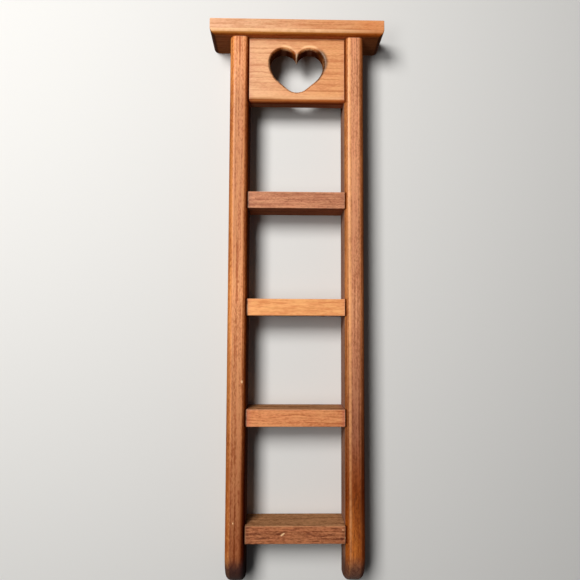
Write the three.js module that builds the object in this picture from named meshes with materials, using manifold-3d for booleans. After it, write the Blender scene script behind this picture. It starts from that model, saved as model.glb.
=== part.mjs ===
// A ladder wall shelf: two round-edged rails, a cap board, a panel with a heart cut through it and
// four shelves, joined by blind dowels. It hangs from a keyhole slot in the back of each rail.
// All sizes are millimetres. X runs across the shelf, Y from its front to the wall, and Z up.
// The origin is the middle of the cap's back edge face, on the wall.

import * as THREE from 'three';
import { mergeVertices } from 'three/addons/utils/BufferGeometryUtils.js';
import Module from 'manifold-3d';

const wasm = await Module();
wasm.setup();

// Rails
const clearWidth = 107;
const railThickness = 21.5;
const railDepth = 40;
const footRadius = 36;
const footTail = 49;

// Edges: the router's round on the rails, cap and panel, and the sanded arris elsewhere
const roundOver = 6.35;
const easedEdge = 0.8;

// Cap
const capThickness = 17;
const capFrontOverhang = 6;
const capEndOverhang = 22.5;

// Heart panel
const panelHeight = 74;
const panelThickness = 15;
const panelSetback = 4.3;

// Heart: the wall of the cut, and the small round along its front edge
const heartWidth = 60.4;
const heartHeight = 48.8;
const heartNotchDepth = 10.6;
const heartTipRadius = 15.8;
const heartSideAngle = THREE.MathUtils.degToRad(50.3);
const heartFlare = 3.5;

// Shelves, and the clear height of the bay above each of them
const shelfThickness = 18.5;
const shelfSetback = 1.2;
const firstBay = 102.5;
const secondBay = 100;
const thirdBay = 101;
const fourthBay = 104;

// Dowels and their sockets
const dowelDiameter = 8;
const dowelLength = 30;
const dowelChamfer = 0.8;
const fluteCount = 10;
const fluteDepth = 0.35;
const dowelInRailSide = 12.5;
const dowelInCap = 10;
const socketSlack = 0.25;
const socketEndRoom = 0.5;
const socketWall = 4;
const shelfDowelInset = 10;
const panelDowelInset = 14;
const capDowelInset = 11;

// Keyhole slots
const keyholeDrop = 34;
const keyholeRun = 11;
const keyholeHead = 10;
const keyholeNeck = 5.5;
const keyholeLip = 4;
const keyholeDepth = 10;

// Fineness of the curves, in straight steps
const roundSteps = 6;
const easedSteps = 2;
const footSteps = 14;
const lobeSteps = 12;
const cheekSteps = 6;
const tipSteps = 5;
const flareSteps = 5;
const socketSides = 16;
const keyholeSteps = 8;

// How far a cutting shape runs past the face that it cuts
const overcut = 1;

// Worked out from the sizes above
const bayHeights = [firstBay, secondBay, thirdBay, fourthBay];
const shelfDepth = railDepth - shelfSetback;
const railLength = bayHeights.reduce((sum, bay) => sum + bay + shelfThickness, panelHeight) + footTail;
const capDepth = railDepth + capFrontOverhang;
const capLength = clearWidth + 2 * railThickness + 2 * capEndOverhang;
const railOffset = (clearWidth + railThickness) / 2;
const socketRadius = dowelDiameter / 2 + socketSlack;
const capSocketInRail = dowelLength - dowelInCap + socketEndRoom;

// Wood tones
const railWood = wood(0xc0824f, 0.42);
const capWood = wood(0xd79a68, 0.4);
const panelWood = wood(0xe2a878, 0.4);
const shelfWood = wood(0xcb8d5b, 0.42);
const dowelWood = wood(0xdcc199, 0.7);

function wood(color, roughness) {
  return new THREE.MeshStandardMaterial({ color, roughness, metalness: 0 });
}

// A closed geometry as a solid that can be cut and joined
function solidOf(geometry) {
  const bare = geometry.clone();
  bare.deleteAttribute('normal');
  bare.deleteAttribute('uv');
  const merged = mergeVertices(bare, 1e-4);
  const vertProperties = new Float32Array(merged.attributes.position.array);
  const triVerts = new Uint32Array(merged.index.array);
  return new wasm.Manifold(new wasm.Mesh({ numProp: 3, vertProperties, triVerts }));
}

// A solid as a geometry again
function geometryOf(solid) {
  const mesh = solid.getMesh();
  const geometry = new THREE.BufferGeometry();
  geometry.setAttribute('position', new THREE.BufferAttribute(new Float32Array(mesh.vertProperties), 3));
  geometry.setIndex(new THREE.BufferAttribute(new Uint32Array(mesh.triVerts), 1));
  geometry.computeVertexNormals();
  return geometry;
}

// A geometry with every cutter taken out of it
function cutAll(geometry, cutters) {
  return geometryOf(cutters.reduce((solid, cutter) => solid.subtract(solidOf(cutter)), solidOf(geometry)));
}

// The space that two geometries share
function shared(first, second) {
  return geometryOf(solidOf(first).intersect(solidOf(second)));
}

// An outline drawn as depth and height, run along X and centred on it
function runAcross(outline, options) {
  const geometry = new THREE.ExtrudeGeometry(outline, options);
  geometry.computeBoundingBox();
  geometry.translate(0, 0, -(geometry.boundingBox.min.z + geometry.boundingBox.max.z) / 2);
  const depthAxis = new THREE.Vector3(0, 1, 0);
  const heightAxis = new THREE.Vector3(0, 0, 1);
  const acrossAxis = new THREE.Vector3(1, 0, 0);
  return geometry.applyMatrix4(new THREE.Matrix4().makeBasis(depthAxis, heightAxis, acrossAxis));
}

// An outline drawn as width and height, run back from Y = 0 to a depth
function runBack(outline, depth, curveSegments) {
  const geometry = new THREE.ExtrudeGeometry(outline, { depth, bevelEnabled: false, curveSegments });
  geometry.translate(0, 0, -depth);
  const widthAxis = new THREE.Vector3(1, 0, 0);
  const heightAxis = new THREE.Vector3(0, 0, 1);
  const frontAxis = new THREE.Vector3(0, -1, 0);
  return geometry.applyMatrix4(new THREE.Matrix4().makeBasis(widthAxis, heightAxis, frontAxis));
}

// Side outline of a board: its front and underside at 0, and its two front corners rounded
function boardOutline(depth, height, lowerRound, upperRound) {
  const outline = new THREE.Shape();
  outline.moveTo(depth, height);
  outline.lineTo(upperRound, height);
  outline.absarc(upperRound, height - upperRound, upperRound, Math.PI / 2, Math.PI, false);
  outline.lineTo(0, lowerRound);
  outline.absarc(lowerRound, lowerRound, lowerRound, Math.PI, Math.PI * 1.5, false);
  outline.lineTo(depth, 0);
  return outline;
}

// Front outline of the cap: its lower corners take the router's round, its upper ones are eased
function capFrontOutline() {
  const half = capLength / 2;
  const outline = new THREE.Shape();
  outline.moveTo(roundOver - half, 0);
  outline.lineTo(half - roundOver, 0);
  outline.absarc(half - roundOver, roundOver, roundOver, Math.PI * 1.5, Math.PI * 2, false);
  outline.lineTo(half, capThickness - easedEdge);
  outline.absarc(half - easedEdge, capThickness - easedEdge, easedEdge, 0, Math.PI / 2, false);
  outline.lineTo(easedEdge - half, capThickness);
  outline.absarc(easedEdge - half, capThickness - easedEdge, easedEdge, Math.PI / 2, Math.PI, false);
  outline.lineTo(-half, roundOver);
  outline.absarc(roundOver - half, roundOver, roundOver, Math.PI, Math.PI * 1.5, false);
  return outline;
}

// Side outline of a rail, left long at its top and back, where the rail is then sawn square
function railOutline(spare) {
  const outline = new THREE.Shape();
  outline.moveTo(0, spare);
  outline.lineTo(0, footRadius - railLength);
  outline.absarc(footRadius, footRadius - railLength, footRadius, Math.PI, Math.PI * 1.5, false);
  outline.lineTo(Math.max(railDepth, footRadius) + spare, -railLength);
  outline.lineTo(Math.max(railDepth, footRadius) + spare, spare);
  return outline;
}

// Points along an arc, in even turns
function arcPoints(x, z, radius, from, to, steps) {
  const points = [];
  for (let step = 0; step <= steps; step += 1) {
    const angle = from + ((to - from) * step) / steps;
    points.push(new THREE.Vector2(x + radius * Math.cos(angle), z + radius * Math.sin(angle)));
  }
  return points;
}

// The heart's outline, clockwise from its notch and moved outwards by an offset. Each side is a lobe,
// a flatter cheek, a straight run and half of the rounded tip, each one tangent to the next.
function heartOutline(offset) {
  const half = heartWidth / 2;
  const sine = Math.sin(heartSideAngle);
  const cosine = Math.cos(heartSideAngle);
  const lobeRadius = heartNotchDepth + half - Math.sqrt(2 * heartNotchDepth * half);
  const lobeX = half - lobeRadius;
  const lobeZ = heartHeight / 2 - lobeRadius;
  const tipZ = heartTipRadius - heartHeight / 2;
  const cheekRadius = (heartTipRadius + (lobeZ - tipZ) * sine - half * cosine) / (1 - cosine);
  const notchAngle = Math.acos(-lobeX / (lobeRadius + offset));
  const lobe = arcPoints(lobeX, lobeZ, lobeRadius + offset, notchAngle, 0, lobeSteps);
  const cheek = arcPoints(half - cheekRadius, lobeZ, cheekRadius + offset, 0, -heartSideAngle, cheekSteps);
  const tip = arcPoints(0, tipZ, heartTipRadius + offset, -heartSideAngle, -Math.PI / 2, tipSteps);
  const right = [...lobe, ...cheek.slice(1), ...tip];
  const left = right.slice(1, -1).reverse().map((point) => new THREE.Vector2(-point.x, point.y));
  return [...right, ...left];
}

// Rings of as many points each, every ring at its own depth, closed into one body
function loftBack(rings) {
  const count = rings[0].points.length;
  const position = rings.flatMap(({ points, y }) => points.flatMap((point) => [point.x, y, point.y]));
  const index = [];
  for (let ring = 0; ring + 1 < rings.length; ring += 1) {
    for (let corner = 0; corner < count; corner += 1) {
      const here = ring * count + corner;
      const next = ring * count + ((corner + 1) % count);
      index.push(here, next, here + count, next, next + count, here + count);
    }
  }
  index.push(...endFace(rings[0].points, 0, true));
  index.push(...endFace(rings[rings.length - 1].points, (rings.length - 1) * count, false));
  const geometry = new THREE.BufferGeometry();
  geometry.setAttribute('position', new THREE.Float32BufferAttribute(position, 3));
  geometry.setIndex(index);
  return geometry;
}

// The triangles of a loft's end, turned to face the front or the wall
function endFace(points, first, facesFront) {
  return THREE.ShapeUtils.triangulateShape(points, []).flatMap((face) => {
    const facesWall = THREE.ShapeUtils.isClockWise(face.map((corner) => points[corner]));
    const turned = facesWall === facesFront ? [...face].reverse() : face;
    return turned.map((corner) => first + corner);
  });
}

// The heart as a cutter, for a panel whose front is at Y = 0: flared in front, straight behind
function heartCutter() {
  const flareRings = [];
  for (let step = 0; step <= flareSteps; step += 1) {
    const turn = (Math.PI / 2) * (step / flareSteps);
    const offset = heartFlare * (1 - Math.sin(turn));
    flareRings.push({ points: heartOutline(offset), y: heartFlare * (1 - Math.cos(turn)) });
  }
  const inFront = { points: heartOutline(heartFlare), y: -overcut };
  const behind = { points: heartOutline(0), y: panelThickness + overcut };
  return loftBack([inFront, ...flareRings, behind]);
}

// A socket bored along X, from overcut outside a face to its depth inside; side says which way is in
function sideSocket(faceX, side, y, z, depth) {
  const socket = new THREE.CylinderGeometry(socketRadius, socketRadius, depth + overcut, socketSides);
  socket.rotateZ(Math.PI / 2);
  return socket.translate(faceX + (side * (depth - overcut)) / 2, y, z);
}

// A socket bored along Z in the same way
function uprightSocket(x, y, faceZ, side, depth) {
  const socket = new THREE.CylinderGeometry(socketRadius, socketRadius, depth + overcut, socketSides);
  socket.rotateX(Math.PI / 2);
  return socket.translate(x, y, faceZ + (side * (depth - overcut)) / 2);
}

// A slot with round ends, as wide as its ends are across, from its lower end's centre up a run
function slotOutline(width, run) {
  const outline = new THREE.Shape();
  outline.absarc(0, 0, width / 2, Math.PI, Math.PI * 2, false);
  outline.lineTo(width / 2, run);
  outline.absarc(0, run, width / 2, 0, Math.PI, false);
  return outline;
}

// A keyhole slot in a rail's back: a round mouth below, a narrow neck above it and room for the
// screw's head behind the neck. The screw's shank rests in the top of the neck.
function keyholeCutters() {
  const mouth = runBack(slotOutline(keyholeHead, 0.01), keyholeDepth + overcut, keyholeSteps);
  const neck = runBack(slotOutline(keyholeNeck, keyholeRun), keyholeDepth + overcut, keyholeSteps);
  const headRoom = runBack(slotOutline(keyholeHead, keyholeRun), keyholeDepth - keyholeLip, keyholeSteps);
  const cutters = [mouth, neck, headRoom];
  return cutters.map((cutter) => cutter.translate(0, railDepth - keyholeDepth, -keyholeDrop - keyholeRun));
}

// Height of a shelf's underside, below the cap
function shelfFloor(number) {
  const above = bayHeights.slice(0, number).reduce((sum, bay) => sum + bay + shelfThickness, panelHeight);
  return -above;
}

// Where the dowels of a cross board's end sit: depth from the rails' front, and height
function shelfDowels(number) {
  const z = shelfFloor(number) + shelfThickness / 2;
  return [
    { place: 'front', y: shelfSetback + shelfDowelInset, z },
    { place: 'back', y: railDepth - shelfDowelInset, z },
  ];
}

// The panel's upper dowel passes under the sockets that the cap's dowels stand in
function panelDowels() {
  const y = panelSetback + panelThickness / 2;
  return [
    { place: 'upper', y, z: -(capSocketInRail + socketWall + socketRadius) },
    { place: 'lower', y, z: panelDowelInset - panelHeight },
  ];
}

function capDowels() {
  return [
    { place: 'front', y: capDowelInset },
    { place: 'back', y: railDepth - capDowelInset },
  ];
}

// A rail: one outline run across its thickness with the router's round on every edge, then sawn square
// at its top and back, so that the round is left along the front and runs on round the foot
function railGeometry(side) {
  const spare = roundOver + overcut;
  const blank = runAcross(railOutline(spare), {
    depth: railThickness - 2 * roundOver,
    curveSegments: footSteps,
    bevelThickness: roundOver,
    bevelSize: roundOver,
    bevelOffset: -roundOver,
    bevelSegments: roundSteps,
  });
  const saw = new THREE.BoxGeometry(railThickness + overcut, railDepth + overcut, railLength + overcut);
  saw.translate(0, (railDepth - overcut) / 2, -(railLength + overcut) / 2);
  const innerFace = (-side * railThickness) / 2;
  const boards = [...bayHeights.flatMap((bay, index) => shelfDowels(index + 1)), ...panelDowels()];
  const sideDepth = dowelInRailSide + socketEndRoom;
  return cutAll(shared(blank, saw), [
    ...boards.map(({ y, z }) => sideSocket(innerFace, side, y, z, sideDepth)),
    ...capDowels().map(({ y }) => uprightSocket(0, y, 0, -1, capSocketInRail)),
    ...keyholeCutters(),
  ]);
}

// The cap: the shared space of its side and front outlines, so that the rounds meet in a mitre
function capGeometry() {
  const sideOutline = boardOutline(capDepth, capThickness, roundOver, easedEdge);
  const along = runAcross(sideOutline, { depth: capLength, bevelEnabled: false, curveSegments: roundSteps });
  const board = shared(along, runBack(capFrontOutline(), capDepth, roundSteps));
  const depth = dowelInCap + socketEndRoom;
  const sockets = [-1, 1].flatMap((side) => capDowels().map(({ y }) => (
    uprightSocket(side * railOffset, y + capFrontOverhang, 0, 1, depth)
  )));
  return cutAll(board, sockets);
}

// A board between the rails with a dowel socket bored at each dowel, in both ends
function crossBoard(blank, dowels) {
  const depth = dowelLength - dowelInRailSide + socketEndRoom;
  const sockets = [-1, 1].flatMap((side) => dowels.map(({ y, z }) => (
    sideSocket((side * clearWidth) / 2, -side, y, z, depth)
  )));
  return cutAll(blank, sockets);
}

// The panel, in its own frame: front at Y = 0, underside at Z = 0
function panelGeometry() {
  const outline = boardOutline(panelThickness, panelHeight, roundOver, easedEdge);
  const blank = runAcross(outline, { depth: clearWidth, bevelEnabled: false, curveSegments: roundSteps });
  const dowels = panelDowels().map(({ y, z }) => ({ y: y - panelSetback, z: z + panelHeight }));
  const heart = heartCutter().translate(0, 0, panelHeight / 2);
  return cutAll(crossBoard(blank, dowels), [heart]);
}

// A shelf, in its own frame: front at Y = 0, underside at Z = 0
function shelfGeometry(number) {
  const outline = boardOutline(shelfDepth, shelfThickness, easedEdge, easedEdge);
  const blank = runAcross(outline, { depth: clearWidth, bevelEnabled: false, curveSegments: easedSteps });
  const floor = shelfFloor(number);
  const dowels = shelfDowels(number).map(({ y, z }) => ({ y: y - shelfSetback, z: z - floor }));
  return crossBoard(blank, dowels);
}

// A fluted dowel along Z, centred on its middle, with chamfered ends
function dowelGeometry() {
  const outline = new THREE.Shape();
  for (let ridge = 0; ridge < 2 * fluteCount; ridge += 1) {
    const radius = dowelDiameter / 2 - (ridge % 2) * fluteDepth;
    const angle = (Math.PI * ridge) / fluteCount;
    outline[ridge ? 'lineTo' : 'moveTo'](radius * Math.cos(angle), radius * Math.sin(angle));
  }
  const dowel = new THREE.ExtrudeGeometry(outline, {
    depth: dowelLength - 2 * dowelChamfer,
    bevelThickness: dowelChamfer,
    bevelSize: dowelChamfer,
    bevelOffset: -dowelChamfer,
    bevelSegments: 1,
  });
  return dowel.translate(0, 0, dowelChamfer - dowelLength / 2);
}

// A named piece, placed in the group that holds it
function piece(name, geometry, material, x, y, z) {
  const mesh = new THREE.Mesh(geometry, material);
  mesh.name = name;
  mesh.position.set(x, y, z);
  return mesh;
}

// The dowels that pin a board's two ends into the rails, laid along X
function boardDowels(board, dowels) {
  const set = new THREE.Group();
  for (const [hand, side] of [['left', -1], ['right', 1]]) {
    const middle = side * (clearWidth / 2 + dowelInRailSide - dowelLength / 2);
    for (const { place, y, z } of dowels) {
      const dowel = piece(`${board}_dowel_${hand}_${place}`, dowelGeometry(), dowelWood, middle, y, z);
      dowel.rotation.y = Math.PI / 2;
      set.add(dowel);
    }
  }
  return set;
}

// A rail with the two dowels that stand in its top, in the rail's own frame
function railSet(hand, side) {
  const set = new THREE.Group();
  set.position.x = side * railOffset;
  set.add(piece(`${hand}_rail`, railGeometry(side), railWood, 0, 0, 0));
  for (const { place, y } of capDowels()) {
    const name = `cap_dowel_${hand}_${place}`;
    set.add(piece(name, dowelGeometry(), dowelWood, 0, y, dowelInCap - dowelLength / 2));
  }
  return set;
}

// The assembly, drawn with the rails' front at Y = 0 and the cap's underside at Z = 0
const ladderShelf = new THREE.Group();
ladderShelf.position.set(0, -railDepth, -capThickness / 2);
ladderShelf.add(railSet('left', -1), railSet('right', 1));
ladderShelf.add(piece('top_cap', capGeometry(), capWood, 0, -capFrontOverhang, 0));
ladderShelf.add(piece('heart_panel', panelGeometry(), panelWood, 0, panelSetback, -panelHeight));
ladderShelf.add(boardDowels('panel', panelDowels()));
for (let number = 1; number <= bayHeights.length; number += 1) {
  const name = `shelf_${number}`;
  ladderShelf.add(piece(name, shelfGeometry(number), shelfWood, 0, shelfSetback, shelfFloor(number)));
  ladderShelf.add(boardDowels(name, shelfDowels(number)));
}

const assembly = new THREE.Group();
assembly.add(ladderShelf);

export default assembly;
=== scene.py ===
# %% [markdown]
# # A ladder wall shelf in varnished hardwood
# The object is a small hanging shelf: two long rails with a routed round along their front, a cap
# board on top, a panel with a heart cut through it, and four square shelves between the rails.
# The construction is already settled in a CAD frame, so this script only gives it its looks. Each
# board is rebuilt here as a finer mesh in exactly the place of the plain one, because a routed edge
# lives from the way light rolls over it, and a coarse edge would break that light into bands.

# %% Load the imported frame
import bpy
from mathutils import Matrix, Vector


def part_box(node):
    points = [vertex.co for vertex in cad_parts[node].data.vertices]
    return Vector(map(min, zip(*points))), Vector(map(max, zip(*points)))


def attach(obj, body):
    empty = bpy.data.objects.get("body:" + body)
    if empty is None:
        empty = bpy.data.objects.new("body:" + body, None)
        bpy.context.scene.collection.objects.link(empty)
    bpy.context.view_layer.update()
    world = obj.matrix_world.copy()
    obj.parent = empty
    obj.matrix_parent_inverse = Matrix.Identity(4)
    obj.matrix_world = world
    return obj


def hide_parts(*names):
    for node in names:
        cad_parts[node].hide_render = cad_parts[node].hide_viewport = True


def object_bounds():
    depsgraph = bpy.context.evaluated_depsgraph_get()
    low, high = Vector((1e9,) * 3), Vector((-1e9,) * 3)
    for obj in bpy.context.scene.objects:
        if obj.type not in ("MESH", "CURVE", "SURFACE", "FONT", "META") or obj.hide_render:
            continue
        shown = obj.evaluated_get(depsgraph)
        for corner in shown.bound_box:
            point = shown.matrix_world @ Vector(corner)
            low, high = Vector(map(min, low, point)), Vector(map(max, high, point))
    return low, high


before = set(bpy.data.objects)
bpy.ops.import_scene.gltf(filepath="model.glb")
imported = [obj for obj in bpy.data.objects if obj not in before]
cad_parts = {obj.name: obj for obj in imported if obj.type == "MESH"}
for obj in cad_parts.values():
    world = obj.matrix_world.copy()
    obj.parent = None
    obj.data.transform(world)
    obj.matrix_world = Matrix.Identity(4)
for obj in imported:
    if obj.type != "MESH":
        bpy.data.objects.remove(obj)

cad_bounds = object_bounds()
print("nodes in the frame:", len(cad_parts))
print("size of the frame in metres:", [round(value, 4) for value in cad_bounds[1] - cad_bounds[0]])

# %% Libraries
import math

import bmesh
import bpy
from mathutils import Euler, Matrix, Vector

# %% [markdown]
# ## The camera
# The photograph was taken from in front of the second shelf, a little to the left of the middle and
# about 60 cm away. Its place was worked out by matching the corners of the boards, whose real sizes
# are known, to the picture. A short distance matters here more than the exact lens: it is what shows
# the cap from below and the lowest shelf from above in one view.

# %% Camera
MM = 0.001
SENSOR_WIDTH = 36
PHOTO_WIDTH = 580
FOCAL_PIXELS = 530
CAMERA_PLACE = Vector((-18.58, -616.34, -330.7)) * MM
PAN_RIGHT = math.radians(1.1769)
TILT_UP = math.radians(3.6413)
ROLL = math.radians(0.2473)


def linked(name, data):
    """A new object in the scene, from a mesh, a lamp or a camera."""
    made = bpy.data.objects.new(name, data)
    bpy.context.scene.collection.objects.link(made)
    return made


camera_data = bpy.data.cameras.new("camera")
camera_data.sensor_width = SENSOR_WIDTH
camera_data.lens = FOCAL_PIXELS * SENSOR_WIDTH / PHOTO_WIDTH
camera_data.clip_start = 0.01
camera = linked("camera", camera_data)
aim = Euler((math.radians(90) + TILT_UP, 0, -PAN_RIGHT)).to_matrix()
rolled = (aim @ Matrix.Rotation(ROLL, 3, "Z")).to_4x4()
camera.matrix_world = Matrix.Translation(CAMERA_PLACE) @ rolled
bpy.context.scene.camera = camera
print("lens in mm:", round(camera_data.lens, 2))

# %% [markdown]
# ## The sizes of the edges
# Where a board starts and ends is read from the frame. What the frame doesn't say is how its edges
# were worked, so those sizes stand here: a router bit with a 1/4 inch round ran along the rails, the
# cap and the panel, and every other edge was only broken with sandpaper.

# %% Edge sizes
ROUTER = 6.35 * MM
SANDED = 0.8 * MM
FINE_ARRIS = 0.45 * MM
FOOT_RADIUS = 36 * MM
ROUND_STEPS = 14
BOARD_NAMES = ["left_rail", "right_rail", "top_cap", "heart_panel"]
BOARD_NAMES += ["shelf_1", "shelf_2", "shelf_3", "shelf_4"]
BOX = {name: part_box(name) for name in BOARD_NAMES}
for name, (low, high) in BOX.items():
    print(name, [round(value / MM, 1) for value in high - low])

# %% [markdown]
# ## Boards as stacks of rings
# A bevel would treat all edges of a board alike. Here each board is a stack of closed rings instead,
# like the layers of a loaf. A ring near the face of the board is drawn in by exactly what a round of
# that radius takes away at that depth, and each edge of the ring can have its own radius, so one edge
# is routed while the one beside it stays square.

# %% Ring helpers
def drawn_in(depth, radius):
    """How far a rounded edge stands back at a depth below the face beside it."""
    short = max(0, radius - depth)
    return radius - math.sqrt(radius * radius - short * short)


def stations(length, low_radii, high_radii):
    """Places along a length where rings stand: close together through the rounds at both ends."""
    places = {0, length}
    for radius in low_radii + high_radii:
        for step in range(1, ROUND_STEPS + 1):
            run = radius * (1 - math.cos(math.pi / 2 * step / ROUND_STEPS))
            places.add(run if radius in low_radii else length - run)
            places.add(length - run if radius in high_radii else run)
    ordered = sorted(places)
    return [ordered[0]] + [b for a, b in zip(ordered, ordered[1:]) if b - a > 1e-5]


def arc(centre, radius, start, end, steps):
    """Points of an arc in a plane, as pairs."""
    x, y = centre
    turns = [start + (end - start) * step / steps for step in range(steps + 1)]
    return [(x + radius * math.cos(turn), y + radius * math.sin(turn)) for turn in turns]


def strip(shape, near, far):
    """The faces between two rings."""
    for here in range(len(near)):
        after = (here + 1) % len(near)
        shape.faces.new((near[here], near[after], far[after], far[here]))


def as_piece(name, shape):
    """The object of a shape that has all its faces."""
    bmesh.ops.recalc_face_normals(shape, faces=shape.faces)
    mesh = bpy.data.meshes.new(name)
    shape.to_mesh(mesh)
    shape.free()
    return linked(name, mesh)


def stacked(name, rings):
    """A closed piece from rings that all have the same number of points."""
    shape = bmesh.new()
    loops = [[shape.verts.new(point) for point in ring] for ring in rings]
    for near, far in zip(loops, loops[1:]):
        strip(shape, near, far)
    shape.faces.new(loops[0])
    shape.faces.new(loops[-1])
    return as_piece(name, shape)


# %% [markdown]
# ## The rails
# A rail is a 21.5 mm board, sawn square at the top and the back. Its front edges are routed, and the
# round runs on round the curved foot and under it. Seen from the side the rail is one outline, so the
# rings are side outlines, stacked from the rail's left face to its right one.

# %% Rails
FOOT_STEPS = 28


def rail_ring(x, box, depth):
    """The side outline of a rail at a place across its thickness, this deep under the nearer face."""
    low, high = box
    inset = drawn_in(depth, ROUTER)
    ease = drawn_in(depth, FINE_ARRIS)
    centre = (low.y + FOOT_RADIUS, low.z + FOOT_RADIUS)
    foot = arc(centre, FOOT_RADIUS - inset, math.pi, math.pi * 1.5, FOOT_STEPS)
    back = high.y - ease
    outline = [(low.y + inset, high.z - ease)] + foot + [(back, low.z + inset), (back, high.z - ease)]
    return [(x, y, z) for y, z in outline]


def rail(name):
    box = BOX[name]
    thickness = box[1].x - box[0].x
    radii = [ROUTER, FINE_ARRIS]
    places = stations(thickness, radii, radii)
    return stacked(name + "_finished", [
        rail_ring(box[0].x + place, box, min(place, thickness - place)) for place in places
    ])


rails = {name: rail(name) for name in ("left_rail", "right_rail")}
print("points in a rail:", len(rails["left_rail"].data.vertices))

# %% [markdown]
# ## The cap
# The cap lies across both rails and stands out past them. The router went along its lower front edge
# and round both lower ends, so its rounds meet in a mitre at the front corners. Rings seen from above
# give that mitre by themselves: near the underside each ring is simply drawn in on three sides.

# %% Cap
CORNER_STEPS = 4


def cap_ring(z, box, inset):
    """The cap seen from above at one height, drawn in at its front and its two ends."""
    low, high = box
    left, right, front = low.x + inset, high.x - inset, low.y + inset
    corner = SANDED
    near_left = arc((left + corner, front + corner), corner, math.pi, math.pi * 1.5, CORNER_STEPS)
    near_right = arc((right - corner, front + corner), corner, math.pi * 1.5, math.pi * 2, CORNER_STEPS)
    return [(x, y, z) for x, y in [(left, high.y)] + near_left + near_right + [(right, high.y)]]


def cap():
    low, high = BOX["top_cap"]
    thickness = high.z - low.z
    rings = []
    for place in stations(thickness, [ROUTER], [SANDED]):
        inset = drawn_in(place, ROUTER) + drawn_in(thickness - place, SANDED)
        rings.append(cap_ring(low.z + place, (low, high), inset))
    return stacked("top_cap_finished", rings)


top_cap = cap()
print("points in the cap:", len(top_cap.data.vertices))

# %% [markdown]
# ## The shelves
# The shelves are square-edged. Their long edges are only sanded, and so are the arrises of their ends,
# which stay in sight in the small notch where a shelf meets the round of a rail. Rings across the
# shelf, from one end to the other, keep both kinds of edge.

# %% Shelves
def shelf_ring(x, box, inset):
    """The section of a shelf at one place along it."""
    low, high = box
    edge = SANDED
    corners = [
        ((low.y + inset + edge, low.z + inset + edge), math.pi),
        ((high.y - inset - edge, low.z + inset + edge), math.pi * 1.5),
        ((high.y - inset - edge, high.z - inset - edge), 0),
        ((low.y + inset + edge, high.z - inset - edge), math.pi * 0.5),
    ]
    outline = []
    for centre, turn in corners:
        outline += arc(centre, edge, turn, turn + math.pi / 2, CORNER_STEPS)
    return [(x, y, z) for y, z in outline]


def shelf(name):
    low, high = BOX[name]
    length = high.x - low.x
    places = stations(length, [FINE_ARRIS], [FINE_ARRIS])
    return stacked(name + "_finished", [
        shelf_ring(low.x + place, (low, high), drawn_in(min(place, length - place), FINE_ARRIS))
        for place in places
    ])


shelves = {name: shelf(name) for name in BOARD_NAMES if name.startswith("shelf")}
print("shelves:", sorted(shelves))

# %% [markdown]
# ## The heart
# The heart is sawn straight through the panel, and then a small router bit ran round its front edge.
# Its outline is drawn as a maker would lay it out: two round lobes, a flatter cheek on each side, a
# straight run, and a rounded tip, each tangent to the next. Moving all its radii out by the same
# amount gives the outline at any depth of the routed edge.

# %% Heart outline
HEART_WIDTH = 60.4 * MM
HEART_HEIGHT = 48.8 * MM
HEART_NOTCH = 10.6 * MM
HEART_TIP = 15.8 * MM
HEART_SIDE = math.radians(50.3)
HEART_FLARE = 3.5 * MM
LOBE_STEPS = 26
CHEEK_STEPS = 14
TIP_STEPS = 12


def heart_outline(offset):
    """The heart about its centre, clockwise from its notch, moved outwards by an offset."""
    half = HEART_WIDTH / 2
    sine, cosine = math.sin(HEART_SIDE), math.cos(HEART_SIDE)
    lobe_radius = HEART_NOTCH + half - math.sqrt(2 * HEART_NOTCH * half)
    lobe = (half - lobe_radius, HEART_HEIGHT / 2 - lobe_radius)
    tip = (0, HEART_TIP - HEART_HEIGHT / 2)
    cheek_radius = (HEART_TIP + (lobe[1] - tip[1]) * sine - half * cosine) / (1 - cosine)
    notch = math.acos(-lobe[0] / (lobe_radius + offset))
    right = arc(lobe, lobe_radius + offset, notch, 0, LOBE_STEPS)
    right += arc((half - cheek_radius, lobe[1]), cheek_radius + offset, 0, -HEART_SIDE, CHEEK_STEPS)[1:]
    right += arc(tip, HEART_TIP + offset, -HEART_SIDE, -math.pi / 2, TIP_STEPS)
    return right + [(-x, z) for x, z in reversed(right[1:-1])]


print("points round the heart:", len(heart_outline(0)))

# %% [markdown]
# ## The heart panel
# The panel has two skins: its outer edge and the wall of the heart. Each point of the heart gets a
# partner on the outer edge, straight out from the heart's centre, and the faces of the panel are then
# plain strips between the two. The four partners nearest the corners are moved onto them.

# %% Panel
def rim_shares(outline, half_width, half_height):
    """For each point of the heart, its partner on a rectangle, as shares of its width and height."""
    partners = []
    for x, z in outline:
        reach = min(half_width / max(abs(x), 1e-9), half_height / max(abs(z), 1e-9))
        partners.append([(x * reach / half_width + 1) / 2, (z * reach / half_height + 1) / 2])
    for corner in ((0, 0), (0, 1), (1, 0), (1, 1)):
        nearest = min(partners, key=lambda share: math.dist(share, corner))
        nearest[:] = corner
    return partners


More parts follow.
